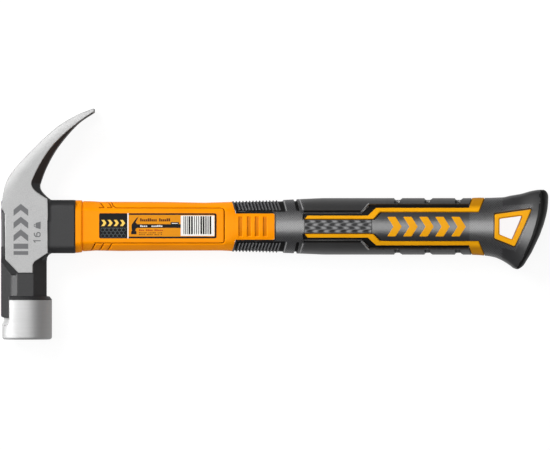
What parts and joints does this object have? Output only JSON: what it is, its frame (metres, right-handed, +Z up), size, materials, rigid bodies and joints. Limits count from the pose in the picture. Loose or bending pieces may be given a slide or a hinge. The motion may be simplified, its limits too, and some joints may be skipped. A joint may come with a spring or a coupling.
{
  "type": "claw hammer",
  "caption": "Curved-claw hammer with a magnetic nail starter, lying on its side; fibreglass-cored two-colour handle with a hang hole.",
  "frame": {"origin": "centre of the bounding box's underside, the hammer lying on its side", "axes": "+X along the handle from the head to the butt, +Y towards the claw tips (the striking face looks along -Y), +Z up through the side of the head"},
  "size_m": [0.3184, 0.1342, 0.029],
  "materials": {
    "head_steel": "satin",
    "magnet_nickel": "satin",
    "epoxy": "satin",
    "fibreglass": "satin",
    "orange_plastic": "satin",
    "black_rubber": "matte",
    "grey_insert": "satin",
    "label_print": "satin"
  },
  "bodies": {
    "root": {"head": "head_steel", "nail_magnet": "magnet_nickel", "eye_epoxy": "epoxy", "fibreglass_core": "fibreglass", "jacket": "orange_plastic", "grip": "black_rubber", "texture_panel_front": "grey_insert", "texture_panel_back": "grey_insert", "label": "label_print"}
  },
  "joints": []
}
